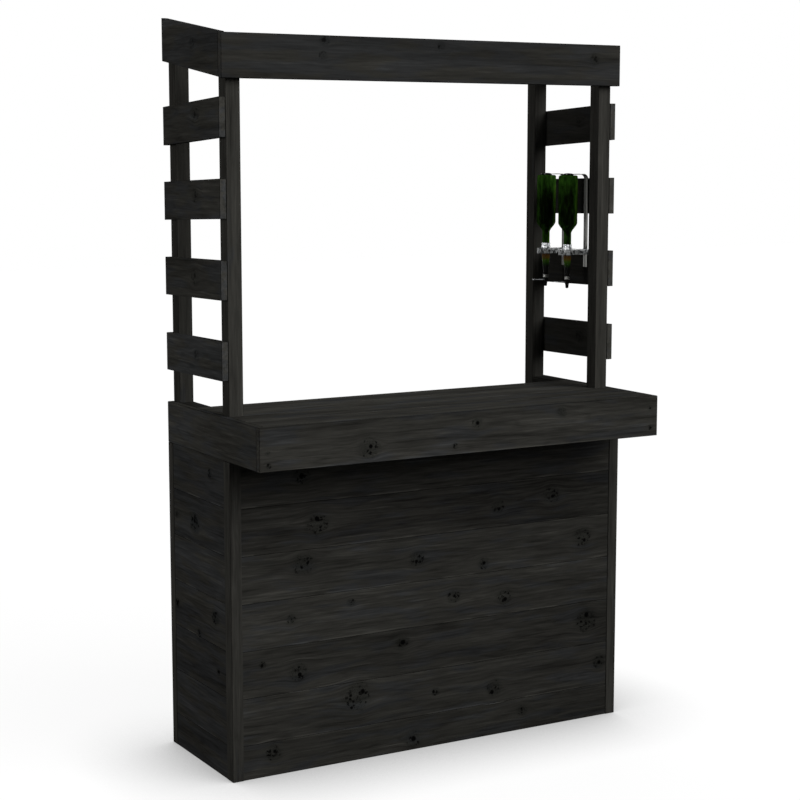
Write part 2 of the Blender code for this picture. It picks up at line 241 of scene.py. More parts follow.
# one entry for each finish, with what it changes of plainTimber: grain is the axis that the fibres follow, face
# the axis through the board, and knotFace the place of its knots there
plainTimber = {
    "tone": 1.0, "contrast": 0.7, "cool": 0.0, "seed": 0.0, "joints": None,
    "knots": (), "knotFace": 0.0, "knotDepth": 0.95,
    "paintedShadeSlope": 0.0,  # painted shade: darker towards one end, as if less light fell there
    "lightEdge": None,  # height of a pale lower edge, and how pale
    "endLift": 1.0,  # how much paler end grain is
    "paintedSideShade": 1.0,  # painted shade: tone of a post's faces to the left and right, darker than its front
}
timberLooks = {
    "x": {"grain": 0, "face": 1, "tone": 1.1},
    "flat": {"grain": 0, "face": 2, "tone": 1.28, "contrast": 0.6, "joints": topJoints},
    "front": {
        "grain": 0, "face": 1, "tone": 0.90, "contrast": 0.59, "paintedShadeSlope": -0.11, "joints": boardJoints,
        "knots": frontKnots, "knotFace": -0.100,
    },
    "side": {
        "grain": 1, "face": 0, "tone": 0.98, "contrast": 0.5, "cool": 0.10, "seed": 40.0, "joints": boardJoints,
        "knots": sideKnots, "knotFace": -0.595,
    },
    "slats": {
        "grain": 1, "face": 0, "tone": 1.06, "contrast": 0.52, "cool": 0.08, "endLift": 1.85,
        "knots": slatKnots, "knotFace": -0.595, "knotDepth": 0.60,
    },
    # the right slats: a darker copy of the slats, painted shade, with paler ends so that their ends stay as bright
    "slats_right_painted_shade": {
        "grain": 1, "face": 0, "tone": 0.62, "contrast": 0.4, "seed": 9.0, "endLift": 3.10,
        "knots": rightSlatKnots, "knotFace": 0.595, "knotDepth": 0.4,
    },
    "apron": {
        "grain": 0, "face": 1, "tone": 1.19, "contrast": 0.6, "lightEdge": (0.834, 0.25),
        "knots": apronKnots, "knotFace": -0.274,
    },
    "fascia": {
        "grain": 0, "face": 1, "tone": 1.13, "contrast": 0.42, "cool": 0.10, "seed": 7.0,
        "knots": fasciaKnots, "knotFace": -0.080, "knotDepth": 0.70,
    },
    "counter_sides": {"grain": 1, "face": 0, "tone": 1.19, "contrast": 0.55, "cool": 0.05, "seed": 2.0},
    # the counter's caps: a darker copy of the timber, painted shade
    "caps": {"grain": 1, "face": 0, "tone": 0.70, "contrast": 0.55, "seed": 4.0},
    # the front posts a lighter copy and the back posts a darker copy of the same timber: painted light and shade
    "front_posts": {"grain": 2, "face": 0, "tone": 1.60, "contrast": 0.42, "cool": -0.12, "paintedSideShade": 0.60},
    "back_posts": {
        "grain": 2, "face": 0, "tone": 1.10, "contrast": 0.42, "cool": -0.12, "paintedSideShade": 0.78, "seed": 3.0,
    },
    "studs": {"grain": 2, "face": 0, "tone": 1.12, "contrast": 0.5, "cool": -0.12, "seed": 5.0},
}


def byGrain(look, along, across, through):
    # a number for each axis, from those along the grain, across it and through the board
    numbers = [across, across, across]
    numbers[look["grain"]] = along
    numbers[look["face"]] = through
    return numbers


def bendRoundKnots(place, look):
    # the place with the grain pushed round each knot, and how far it is to the nearest knot and dark spot
    pulled = place
    nearest = spot = None
    for sideways, height, size, alongShift, acrossShift, spotSize in look["knots"]:
        centre = [sideways, sideways, height]
        centre[look["face"]] = look["knotFace"]
        away = place.vector("SUBTRACT", centre)
        distance = away.vector(
            "DIVIDE", byGrain(look, knotLook["length"] * size, size, knotLook["depth"] * size)
        ).length()
        fading = (distance * distance * knotLook["pullFade"]).maths("EXPONENT")
        pushed = away.vector("MULTIPLY", byGrain(look, 0.0, knotLook["pull"], 0.0)).scaled(fading)
        pulled = pulled.vector("SUBTRACT", pushed)
        nearest = distance if nearest is None else nearest.maths("MINIMUM", distance)
        if spotSize:
            shift = byGrain(look, alongShift, acrossShift, 0.0)
            middle = [number + change for number, change in zip(centre, shift)]
            radius = byGrain(look, spotSize, spotSize, knotLook["spotDepth"] * spotSize)
            distance = place.vector("SUBTRACT", middle).vector("DIVIDE", radius).length()
            spot = distance if spot is None else spot.maths("MINIMUM", distance)
    return pulled, nearest, spot


def darkenKnots(place, colour, nearest, spot, depth):
    # grey smudge, black specks and grit in each knot, and its larger spots
    look = knotLook
    wobble = place.noise(look["wobbleScales"], 2.0, 0.6).output("Color")
    wobble = wobble.vector("SUBTRACT", (0.5, 0.5, 0.5)).scaled(look["wobble"])
    speckle = place.node(
        "ShaderNodeTexVoronoi", {"voronoi_dimensions": "3D"},
        {"Vector": place.vector("ADD", wobble), "Scale": look["speckScale"], "Randomness": 1.0},
    )
    lot = speckle.output("Color").parts()[0]
    grit = place.noise(look["gritScales"], 2.0, 0.7)
    smudge = place.noise(look["smudgeScales"], 2.0, 0.6)
    ragged = nearest + (smudge - 0.5) * look["raggedness"]
    specks = speckle.step(*look["speckSteps"]) * lot.step(*look["speckLot"]) * ragged.step(*look["speckReach"])
    grainy = grit.step(*look["gritSteps"]) * ragged.step(*look["gritReach"]) * look["gritShare"]
    inside = ragged.step(*look["smudgeReach"]) * (look["smudgeShare"] * depth)
    colour = inside.blend(colour, colour.vector("MULTIPLY", look["smudge"]))
    spot = spot + (grit - 0.5) * look["spotGrit"] + (smudge - 0.5) * look["spotSmudge"]
    dark = specks.maths("MAXIMUM", spot.step(*look["spotReach"])).maths("MAXIMUM", grainy)
    return (dark * depth).blend(colour, look["dark"]), dark


def stainedTimber(name, changes):
    look = {**plainTimber, **changes}
    grain, face, seed, contrast, joints = [look[key] for key in ("grain", "face", "seed", "contrast", "joints")]
    material, shade, shader = newMaterial(f"stained_timber_{name}", {"Specular IOR Level": 0.0})
    place = shade.node("ShaderNodeTexCoord", output="Object")
    pulled, nearest, spot = bendRoundKnots(place, look)
    axes = pulled.parts()

    # each board has its own piece of the grain and its own tone
    number = seed
    lift = 0.0
    if joints:
        count = axes[joints["axis"]] * (1 / joints["pitch"]) + (seed - joints["start"] / joints["pitch"])
        number = count.maths("FLOOR")
        lot = shade.node("ShaderNodeTexWhiteNoise", {"noise_dimensions": "1D"}, {"W": number})
        along, across = stainLook["sapwoodScales"]
        pieces = place.noise(byGrain(look, along, across, across), 1.0)
        paleEdge = (count - number).step(joints["paleEdge"], 0.0) * pieces.step(*stainLook["sapwoodSteps"])
        lift = (lot - 0.5) * joints["variety"] + paleEdge * stainLook["sapwood"]
    if look["lightEdge"]:
        edge, paleness = look["lightEdge"]
        lift = lift + axes[2].step(*[edge + rise for rise in stainLook["lightEdgeSteps"]]) * paleness
    shifted = list(axes)
    for axis, shift in zip((grain, face), stainLook["boardShift"]):
        shifted[axis] = axes[axis] + number * shift
    board = shade.node("ShaderNodeCombineXYZ", None, dict(enumerate(shifted)))

    def grainNoise(scales, detail, roughness=0.5):
        along, across = stainLook[scales]
        return board.noise(byGrain(look, along, across, across), detail, roughness)

    wide = grainNoise("wideScales", 2.0)
    middle = grainNoise("middleScales", 3.0, 0.6)
    fine = grainNoise("fineScales", 3.0, 0.65)
    streak = grainNoise("streakScales", 1.0)
    ring = (wide * stainLook["rings"]).maths("FRACT")
    ringLine = (ring - 0.5).maths("ABSOLUTE").step(*stainLook["ringSteps"])
    level = 0.5 + (wide - 0.5) * stainLook["wideShare"] + lift
    level = level + (middle - 0.5) * (stainLook["middleShare"] * contrast)
    level = level + (fine - 0.5) * (stainLook["fineShare"] * contrast)
    level = level + streak.step(*stainLook["paleStreakSteps"]) * (stainLook["paleStreak"] * contrast)
    level = level - streak.step(*stainLook["darkStreakSteps"]) * (stainLook["darkStreak"] * contrast)
    level = level - ringLine * (stainLook["ringShare"] * contrast)
    # painted shade: darker towards one end of the boarding
    if look["paintedShadeSlope"]:
        level = level + axes[grain] * look["paintedShadeSlope"]

    warmRamp, coolRamp = [
        shade.node("ShaderNodeValToRGB", {"stops": [
            (position, tuple(value * look["tone"] * share for share in stainLook[tint]))
            for position, value in stainLook["stops"]
        ]}, {0: level})
        for tint in ("warm", "cool")
    ]
    coolness = grainNoise("coolScales", 2.0).step(*[limit - look["cool"] for limit in stainLook["coolSteps"]])
    colour = coolness.blend(warmRamp, coolRamp)
    height = (fine - 0.5) * stainLook["fineHeight"] + (middle - 0.5) * stainLook["middleHeight"]
    if look["knots"]:
        colour, dark = darkenKnots(place, colour, nearest, spot, look["knotDepth"])
        height = height - dark * knotLook["dent"]

    # the normal says which way a face looks: on an eased edge no part of it is close to 1
    facings = shade.node("ShaderNodeTexCoord", output="Normal").vector("ABSOLUTE").parts()
    if not joints:
        # painted shade: the eased edges are darkened, though the lamps light them
        flat = facings[0].maths("MAXIMUM", facings[1].maths("MAXIMUM", facings[2]))
        colour = flat.step(*stainLook["edgeSteps"]).blend(colour, colour.scaled(stainLook["paintedEdgeShade"]))
    # painted shade on a post's side faces; end grain paler
    for axis, change in ((face, look["paintedSideShade"]), (grain, look["endLift"])):
        if change != 1.0:
            colour = facings[axis].step(*stainLook["facingSteps"]).blend(colour, colour.scaled(change))
    feed(shader, "Base Color", colour)
    feed(shader, "Roughness", stainLook["roughness"] - (fine - 0.5) * stainLook["roughnessChange"])
    feed(shader, "Normal", shade.node("ShaderNodeBump", None, {
        "Strength": stainLook["bump"], "Distance": stainLook["bumpHeight"], "Height": height,
    }))
    return material


timber = {name: stainedTimber(name, changes) for name, changes in timberLooks.items()}
print("timber finishes made")


def dress(names, material):
    for name in names:
        node = nodes[name]
        node.data.materials.clear()
        node.data.materials.append(material)


bothSides = ("left", "right")
dress([f"post_front_{side}" for side in bothSides], timber["front_posts"])
dress([f"post_back_{side}" for side in bothSides], timber["back_posts"])
dress([f"{name}_{side}" for name in ("corner_stud", "back_strip") for side in bothSides], timber["studs"])
dress([f"slat_left_{number}" for number in (1, 2, 3, 4)], timber["slats"])
dress([f"slat_right_{number}" for number in (1, 2, 3, 4)], timber["slats_right_painted_shade"])
dress([f"fascia_{side}" for side in bothSides], timber["slats"])
dress([f"{name}_{side}" for name in ("apron", "side_rail") for side in bothSides], timber["counter_sides"])
dress([f"bearer_{level}_{side}" for level in ("low", "middle") for side in bothSides], timber["counter_sides"])
dress([f"counter_cap_{side}" for side in bothSides], timber["caps"])
dress(["counter_rail", "front_frame"], timber["x"])
dress(["apron_front"], timber["apron"])
dress(["fascia_front"], timber["fascia"])
print("planks finished")


def selectNothing():
    bpy.ops.object.select_all(action="DESELECT")


def startCube(name, low, high):
    selectNothing()
    low, high = Vector(low), Vector(high)
    bpy.ops.mesh.primitive_cube_add(size=1, location=(low + high) / 2)
    piece = bpy.context.object
    piece.name = piece.data.name = name
    piece.scale = high - low
    bpy.ops.object.transform_apply(location=True, rotation=True, scale=True)
    return piece


def pickFaces(piece, test):
    mesh = bmesh.from_edit_mesh(piece.data)
    for face in mesh.faces:
        face.select_set(test(face.calc_center_median(), face.normal))
    bmesh.update_edit_mesh(piece.data)


def pickEdges(piece, test):
    bpy.ops.mesh.select_all(action="DESELECT")
    mesh = bmesh.from_edit_mesh(piece.data)
    for edge in mesh.edges:
        if test(*[vert.co for vert in edge.verts]):
            edge.select_set(True)
    bmesh.update_edit_mesh(piece.data)


def editOn(mode):
    bpy.ops.object.mode_set(mode="EDIT")
    bpy.ops.mesh.select_mode(type=mode)


def editOff():
    bpy.ops.object.mode_set(mode="OBJECT")


def addModifier(piece, kind, settings):
    bpy.context.view_layer.objects.active = piece
    modifier = piece.modifiers.new(kind, kind)
    for name, value in settings.items():
        setattr(modifier, name, value)
    bpy.ops.object.modifier_apply(modifier=modifier.name)


def repeat(piece, count, offset):
    addModifier(piece, "ARRAY", {
        "count": count, "use_relative_offset": False, "use_constant_offset": True,
        "constant_offset_displace": offset,
    })


def combine(piece, operation, tool):
    addModifier(piece, "BOOLEAN", {"operation": operation, "solver": "EXACT", "object": tool})
    bpy.data.objects.remove(tool)


def easeEdges(piece, width, sharper=30):
    # on the edges that turn by more than this many degrees
    addModifier(piece, "BEVEL", {
        "width": width, "segments": 2, "limit_method": "ANGLE", "angle_limit": radians(sharper),
    })


def smooth(sharper=35):
    bpy.ops.object.shade_smooth_by_angle(angle=radians(sharper))


def putOn(piece, material, slot, *replaced):
    piece.data.materials.clear()
    piece.data.materials.append(material)
    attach(piece, "root")
    if replaced:
        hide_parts(*replaced)


def makeBoards(name, node, turn, material):
    # built along X with its face towards -Y, then turned to face the node's way
    shape = boardShape
    low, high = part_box(node)
    low.z -= shape["drop"]
    if turn == 0:
        low.y -= shape["forward"]
    elif turn < 0:
        low.x -= shape["outwards"]
    else:
        high.x += shape["outwards"]
    size, middle = high - low, (low + high) / 2
    length, depth = (size.x, size.y) if turn == 0 else (size.y, size.x)
    near = 0.0001  # allowed when edges are picked by their place
    rows = int((high.z - shape["firstJoint"]) / shape["pitch"]) + 2
    bottom = shape["firstJoint"] - shape["pitch"]
    board = startCube(name, (-length / 2, 0, bottom), (length / 2, depth, bottom + shape["pitch"] - shape["gap"]))
    front, back = [depth * share for share in shape["tongueShare"]]
    editOn("FACE")
    for y in (front, back):
        bpy.ops.mesh.select_all(action="SELECT")
        bpy.ops.mesh.bisect(plane_co=(0, y, 0), plane_no=(0, 1, 0))
    # the tongue goes up, and the groove is pushed in deeper by the gap
    pickFaces(board, lambda centre, normal: normal.z > 0.9 and front < centre.y < back)
    bpy.ops.mesh.extrude_region_move(TRANSFORM_OT_translate={"value": (0, 0, shape["tongue"])})
    bpy.ops.transform.resize(value=(1, shape["slack"], 1))
    pickFaces(board, lambda centre, normal: normal.z < -0.9 and front < centre.y < back)
    bpy.ops.mesh.extrude_region_move(TRANSFORM_OT_translate={"value": (0, 0, shape["tongue"] + shape["gap"])})
    bpy.ops.mesh.select_mode(type="EDGE")
    pickEdges(board, lambda a, b: max(a.y, b.y) < near and abs(a.z - b.z) < near)
    bpy.ops.mesh.bevel(offset=shape["frontEase"], segments=2, affect="EDGES")
    pickEdges(board, lambda a, b: min(a.y, b.y) > depth - near and abs(a.z - b.z) < near)
    bpy.ops.mesh.bevel(offset=shape["backEase"], segments=1, affect="EDGES")
    editOff()
    repeat(board, rows, (0, 0, shape["pitch"]))
    # the rows are cut off at the node's height
    editOn("FACE")
    for z, upwards in ((high.z, 1), (low.z, -1)):
        bpy.ops.mesh.select_all(action="SELECT")
        bpy.ops.mesh.bisect(plane_co=(0, 0, z), plane_no=(0, 0, upwards), use_fill=True, clear_outer=True)
    editOff()
    board.rotation_euler = (0, 0, turn)
    outer = {0: (middle.x, low.y), -pi / 2: (low.x, middle.y), pi / 2: (high.x, middle.y)}[turn]
    board.location = (*outer, 0)
    bpy.ops.object.transform_apply(location=True, rotation=True, scale=True)
    putOn(board, material, "black_stained_timber", node)


makeBoards("boards_front", "cladding_front", 0, timber["front"])
makeBoards("boards_left", "cladding_left", -pi / 2, timber["side"])
makeBoards("boards_right", "cladding_right", pi / 2, timber["side"])
print("boarding made")


# flat panels of several boards side by side, notched round the front posts
panelShape = {
    "counterBoards": 4, "counterGap": 0.0006,
    "shelfBoards": 3, "shelfGap": 0.002,
    "ease": 0.0012,
    "clear": 0.0003,
    "past": 0.05,  # how far a notch's cutter runs out at the side
    "through": 0.01,
}


def makePanel(name, node, count, gap):
    shape = panelShape
    low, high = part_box(node)
    width = (high.y - low.y + gap) / count
    board = startCube(name, low, (high.x, low.y + width - gap, high.z))
    editOn("EDGE")
    bpy.ops.mesh.select_all(action="SELECT")
    bpy.ops.mesh.bevel(offset=shape["ease"], segments=2, affect="EDGES")
    editOff()
    repeat(board, count, (0, width, 0))
    for side in bothSides:
        postLow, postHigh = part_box(f"post_front_{side}")
        clear = Vector((shape["clear"], shape["clear"], 0))
        past = Vector((shape["past"], 0, 0))
        postLow = postLow - clear - (past if side == "left" else Vector())
        postHigh = postHigh + clear + (past if side == "right" else Vector())
        postLow.z, postHigh.z = low.z - shape["through"], high.z + shape["through"]
        combine(board, "DIFFERENCE", startCube("notch", postLow, postHigh))
    putOn(board, timber["flat"], "black_stained_timber", node)


makePanel("counter_boards", "counter_top", panelShape["counterBoards"], panelShape["counterGap"])
for level in ("low", "middle"):
    makePanel(f"shelf_boards_{level}", f"shelf_{level}", panelShape["shelfBoards"], panelShape["shelfGap"])
print("counter and shelves made")


# the dispenser's small smooth pieces: two tones mixed by a noise
smoothLooks = {
    # clear plastic: its light and dark tones are a painted reflection in the clear acrylic
    "clear_plastic": {
        "tones": ((0.30, 0.31, 0.31, 1.0), (0.012, 0.013, 0.013, 1.0)), "scales": (190.0, 190.0, 120.0),
        "roughness": 0.10, "sockets": {"IOR": 1.49}, "bump": 0.5,
    },
    "clear_chamber": {
        "tones": ((0.06, 0.06, 0.06, 1.0), (0.03, 0.03, 0.03, 1.0)), "scales": (60.0, 60.0, 60.0),
        "roughness": 0.06, "sockets": {"Specular IOR Level": 0.04, "Alpha": 0.06},
    },
    # chrome: its dark patches are a painted reflection
    "chrome": {
        "tones": ((0.72, 0.73, 0.74, 1.0), (0.24, 0.25, 0.26, 1.0)), "scales": (150.0, 150.0, 400.0),
        "roughness": 0.16, "sockets": {"Metallic": 1.0},
    },
    "bright_steel": {
        "tones": ((0.180, 0.180, 0.170, 1.0), (0.065, 0.065, 0.061, 1.0)), "scales": (40.0, 260.0, 6.0),
        "roughness": 0.32, "sockets": {"Metallic": 1.0},
    },
    "black_rubber": {
        "tones": ((0.006, 0.006, 0.006, 1.0), (0.011, 0.011, 0.011, 1.0)), "scales": (200.0, 200.0, 200.0),
        "roughness": 0.42, "sockets": {"Specular IOR Level": 0.0},
    },
}


def smoothFinish(name, look):
    material, shade, shader = newMaterial(name, look["sockets"])
    cloud = shade.node("ShaderNodeTexCoord", output="Object").noise(look["scales"], 2.0)
    feed(shader, "Base Color", cloud.step(0.35, 0.65).blend(*look["tones"]))
    feed(shader, "Roughness", look["roughness"] + (cloud - 0.5) * look["roughness"])
    if "bump" in look:
        feed(shader, "Normal", shade.node("ShaderNodeBump", None, {
            "Strength": look["bump"], "Distance": 0.001, "Height": cloud,
        }))
    return material


# painted light: the greens run from the dark middle of a bottle to a painted glow at its rim, paler near its
# upturned base and towards its neck; heights are under the bottle's upturned base
bottleLook = {
    "greens": [
        (0.00, (0.0014, 0.0022, 0.0007)), (0.26, (0.0036, 0.0076, 0.0014)), (0.48, (0.0090, 0.0260, 0.0030)),
        (0.80, (0.0200, 0.0680, 0.0076)), (1.00, (0.0460, 0.1100, 0.0110)),
    ],
    "middle": 0.15,
    "cloud": 1.35, "cloudScales": (130.0, 130.0, 36.0),
    "rim": 0.52, "rimSteps": (0.04, 0.42),
    "paintedGlowAround": 0.60, "paintedGlowRight": 1.30, "rightSteps": (-0.2, 0.6),
    "nearBase": 0.50, "rimNearBase": 0.42, "nearBaseHeights": (0.085, 0.004),
    "neck": 0.26, "neckHeights": (0.145, 0.170),
    "roughness": 0.06,
}


def bottleGlass(top):
    look = bottleLook
    material, shade, shader = newMaterial("green_glass", {
        "Roughness": look["roughness"], "Specular IOR Level": 0.0,
    })
    place = shade.node("ShaderNodeTexCoord", output="Object")
    height = place.parts()[2]
    sideways = shade.node("ShaderNodeTexCoord", output="Normal").parts()[0]
    facing = shade.node("ShaderNodeLayerWeight", None, {"Blend": 0.5}, "Facing")
    cloud = place.noise(look["cloudScales"], 3.0, 0.6)
    # painted light: a glow at the rim, brighter on the +X side as if lit from there
    rim = facing.step(*look["rimSteps"]) * (look["paintedGlowAround"] + look["paintedGlowRight"] * sideways.step(*look["rightSteps"]))
    # painted light: paler green near the upturned base and towards the neck, as if light shone through
    nearBase = height.step(*[top - drop for drop in look["nearBaseHeights"]])
    neck = height.step(*[top - drop for drop in look["neckHeights"]])
    level = look["middle"] + (cloud - 0.5) * look["cloud"] + rim * (look["rim"] - look["rimNearBase"] * nearBase)
    level = level + nearBase * look["nearBase"] + neck * look["neck"]
    feed(shader, "Base Color", shade.node("ShaderNodeValToRGB", {"stops": look["greens"]}, {0: level}))
    return material


# bottle dispenser: turned pieces are pairs of a radius and a height over the underside of the clamps
tip = 0.0005  # the small radius at which a turned piece is closed
bottleShape = {
    "neck": 0.0104, "neckHeight": 0.0435,
    "radius": 0.0270,
    "shoulder": 0.028, "shoulderSteps": 12, "shoulderSlant": 0.35,
    "ease": 0.005, "easeTurns": (0.4, 0.8, 1.2, pi / 2),
    "base": [(0.017, -0.0005), (0.010, -0.0020), (tip, -0.0020)],  # heights from the top
}
measureShape = {
    # over the bottle's neck and the clamp
    "collar": [
        (0.0026, 0.0), (0.0026, 0.0058), (0.0012, 0.0066), (0.0012, 0.0082), (0.0020, 0.0090),
        (0.0020, 0.0135), (0.0014, 0.0142), (0.0002, 0.0142), (0.0002, 0.0026),
    ],
    "tube": 0.0078, "tubeLow": 0.0002, "clampClear": 0.0003,
    "top": 0.0145, "foot": 0.0078, "wall": 0.0012, "length": 0.0617,
    "rimHigh": -0.0004, "rimLow": -0.0080, "rimEase": 0.0005,
    "core": [
        (0.0074, -0.046), (0.0088, -0.032), (0.0102, -0.018), (0.0112, -0.006), (0.0100, -0.0003), (tip, -0.0003),
    ],
    "coreClear": (0.0005, 0.0003), "coreSockets": {"Roughness": 0.25, "Specular IOR Level": 0.02},
    # the core seen in the clear chamber: the black plunger, then a painted reflection of green, and of amber under
    # the clamp
    "coreTones": [
        (0.0, (0.0010, 0.0010, 0.0010)), (0.40, (0.0015, 0.0015, 0.0012)), (0.53, (0.010, 0.034, 0.002)),
        (0.68, (0.032, 0.088, 0.003)), (0.82, (0.095, 0.046, 0.004)), (1.0, (0.050, 0.020, 0.004)),
    ],
    # under the chamber's foot
    "ring": [
        (0.0060, -0.0080), (0.0070, -0.0080), (0.0077, -0.0072), (0.0077, -0.0052), (0.0068, -0.0044),
        (0.0068, -0.0030), (0.0075, -0.0022), (0.0075, -0.0006), (0.0070, -0.0001), (tip, -0.0001),
    ],
    "nozzle": [
        (0.0028, -0.0330), (0.0040, -0.0320), (0.0047, -0.0250), (0.0062, -0.0180),
        (0.0068, -0.0140), (0.0074, -0.0110), (0.0074, -0.0081), (tip, -0.0081),
    ],
    "leverReach": 0.044, "leverStart": 0.0059, "leverWidth": 0.008, "leverThick": 0.0016,
    "leverDrop": 0.0128, "leverTaper": 0.6, "leverEase": 0.0005,
}
clampShape = {
    "ringRadius": 0.0165, "holeRadius": 0.0080,
    "armHalf": 0.013, "tabHalf": 0.006,
    "tabShorter": 0.006,  # than the node's
    "screwRadius": 0.0030, "screwIn": 0.0065,
    "notchDeep": 0.0034, "notchHalf": 0.0093,
    "through": 0.01, "cutterLength": 0.05,
    "ease": 0.0009,
}
holderShape = {
    "thick": 0.0022,
    "bend": 0.016, "bendSteps": 10,
    "armLower": 0.0036,  # than the node's top
    "ease": 0.0004,
}
# over the bottle's upturned base
knobShape = [
    (0.0140, 0.0003), (0.0152, 0.0012), (0.0148, 0.0030), (0.0125, 0.0045), (0.0090, 0.0054), (0.0050, 0.0058),
    (tip, 0.0060),
]


def raised(profile, height):
    return [(radius, height + rise) for radius, rise in profile]


def turnPiece(name, axis, profile, segments=32):
    # a filled circle, extruded and resized from one height to the next
    selectNothing()
    radius, height = profile[0]
    bpy.ops.mesh.primitive_circle_add(
        vertices=segments, radius=radius, fill_type="NGON", location=(axis.x, axis.y, axis.z + height)
    )
    piece = bpy.context.object
    piece.name = piece.data.name = name
    bpy.ops.object.transform_apply(location=True, rotation=True, scale=True)
    editOn("FACE")
    bpy.ops.mesh.select_all(action="SELECT")
    for newRadius, newHeight in profile[1:]:
        bpy.ops.mesh.extrude_region_move(TRANSFORM_OT_translate={"value": (0, 0, newHeight - height)})
        bpy.ops.transform.resize(value=(newRadius / radius, newRadius / radius, 1), center_override=axis)
        radius, height = newRadius, newHeight
    bpy.ops.mesh.select_all(action="SELECT")
    bpy.ops.mesh.normals_make_consistent(inside=False)
    editOff()
    smooth()
    return piece


def coreTint(clampLow):
    material, shade, shader = newMaterial("measure_core", measureShape["coreSockets"])
    length = measureShape["length"]
    height = shade.node("ShaderNodeTexCoord", output="Object").parts()[2]
    share = (height - (clampLow - length)) * (1 / length)
    feed(shader, "Base Color", shade.node("ShaderNodeValToRGB", {"stops": measureShape["coreTones"]}, {0: share}))
    return material


def makeBottle(axis, foot, top):
    shape = bottleShape
    radius, ease = shape["radius"], shape["ease"]
    outside = [(shape["neck"], foot)]
    for step in range(shape["shoulderSteps"] + 1):
        share = step / shape["shoulderSteps"]
        slant = shape["shoulderSlant"]
        swell = slant * share + (1 - slant) * (0.5 - 0.5 * cos(share * pi))
        outside.append((
            shape["neck"] + (radius - shape["neck"]) * swell,
            foot + shape["neckHeight"] + shape["shoulder"] * share,
        ))
    outside.append((radius, top - ease))
    for turn in shape["easeTurns"]:
        outside.append((radius - ease * (1 - cos(turn)), top - ease + ease * sin(turn)))
    return turnPiece("bottle_glass", axis, outside + raised(shape["base"], top), 48)


def makeCollar(axis, clampHigh):
    shape = measureShape
    neck = bottleShape["neck"]
    above = clampHigh + shape["clampClear"]
    outside = [(neck + wider, rise) for wider, rise in shape["collar"]]
    closed = outside + [(tip, outside[-1][1])]
    tube = [(shape["tube"], shape["tubeLow"]), (shape["tube"], above)]
    return turnPiece("collar", axis, tube + raised(closed, above), 40)


def makeChamber(axis):
    shape = measureShape
    low, top, foot, wall = -shape["length"], shape["top"], shape["foot"], shape["wall"]
    high, rim, ease = shape["rimHigh"], shape["rimLow"], shape["rimEase"]
    return turnPiece("chamber", axis, [
        (foot, low), (top - ease, rim - ease), (top, rim), (top, high), (top - wall, high),
        (top - wall, rim), (foot - wall, low + wall), (tip, low + wall),
    ], 40)


def makeCore(axis):
    shape = measureShape
    inwards, upwards = shape["coreClear"]
    start = (shape["foot"] - shape["wall"] - inwards, -shape["length"] + shape["wall"] + upwards)
    return turnPiece("core", axis, [start] + shape["core"])


def makeLever(axis):
    shape = measureShape
    high = axis.z - shape["length"] - shape["leverDrop"]
    half = shape["leverWidth"] / 2
    lever = startCube(
        "lever",
        (axis.x - shape["leverReach"], axis.y - half, high - shape["leverThick"]),
        (axis.x - shape["leverStart"], axis.y + half, high),
    )
    editOn("FACE")
    pickFaces(lever, lambda middle, normal: normal.x < -0.9)
    bpy.ops.transform.resize(value=(1, shape["leverTaper"], 1), center_override=(axis.x, axis.y, high))
    editOff()
    easeEdges(lever, shape["leverEase"])
    return lever


def makeClamp(axis, low, high):
    # a ring with an arm to the holder and a short tab, bored for the measure and a screw
    shape = clampShape
    middle = (low + high) / 2
    selectNothing()
    bpy.ops.mesh.primitive_cylinder_add(
        vertices=48, radius=shape["ringRadius"], depth=high.z - low.z, location=(axis.x, axis.y, middle.z)
    )
    clamp = bpy.context.object
    clamp.name = clamp.data.name = "acrylic_clamp"
    bpy.ops.object.transform_apply(location=True, rotation=True, scale=True)
    tabEnd = low.x + shape["tabShorter"]
    arm, tab, notch = shape["armHalf"], shape["tabHalf"], shape["notchHalf"]
    combine(clamp, "UNION", startCube("arm", (axis.x, axis.y - arm, low.z), (high.x, axis.y + arm, high.z)))
    combine(clamp, "UNION", startCube("tab", (tabEnd, axis.y - tab, low.z), (axis.x, axis.y + tab, high.z)))
    selectNothing()
    bpy.ops.mesh.primitive_cylinder_add(
        vertices=32, radius=shape["holeRadius"], depth=shape["cutterLength"], location=(axis.x, axis.y, middle.z)
    )
    combine(clamp, "DIFFERENCE", bpy.context.object)
    selectNothing()
    bpy.ops.mesh.primitive_cylinder_add(
        vertices=24, radius=shape["screwRadius"], depth=shape["cutterLength"],
        location=(tabEnd + shape["screwIn"], axis.y, middle.z), rotation=(pi / 2, 0, 0),
    )
    combine(clamp, "DIFFERENCE", bpy.context.object)
    combine(clamp, "DIFFERENCE", startCube(
        "notch",
        (high.x - shape["notchDeep"], axis.y - notch, low.z - shape["through"]),
        (high.x + shape["through"], axis.y + notch, high.z + shape["through"]),
    ))
    easeEdges(clamp, shape["ease"], 40)
    selectNothing()
    clamp.select_set(True)
    bpy.context.view_layer.objects.active = clamp
    smooth()
    return clamp


def makeHolder(axis, low, high):
    # a strip up the wall, spun over at the top and drawn out above the bottle's base
    shape = holderShape
    top = high.z - shape["armLower"]
    bendX, bendZ = high.x - shape["bend"], top - shape["bend"]
    strip = startCube("steel_strip", (high.x - shape["thick"], low.y, low.z), (high.x, high.y, bendZ))
    editOn("FACE")
    pickFaces(strip, lambda middle, normal: normal.z > 0.9)
    bpy.ops.mesh.spin(steps=shape["bendSteps"], angle=pi / 2, center=(bendX, axis.y, bendZ), axis=(0, 1, 0))
    bpy.ops.mesh.extrude_region_move(TRANSFORM_OT_translate={"value": (low.x - bendX, 0, 0)})
    bpy.ops.mesh.select_all(action="SELECT")
    bpy.ops.mesh.remove_doubles(threshold=0.00001)
    bpy.ops.mesh.normals_make_consistent(inside=False)
    editOff()
    easeEdges(strip, shape["ease"], 50)
    smooth()
    return strip


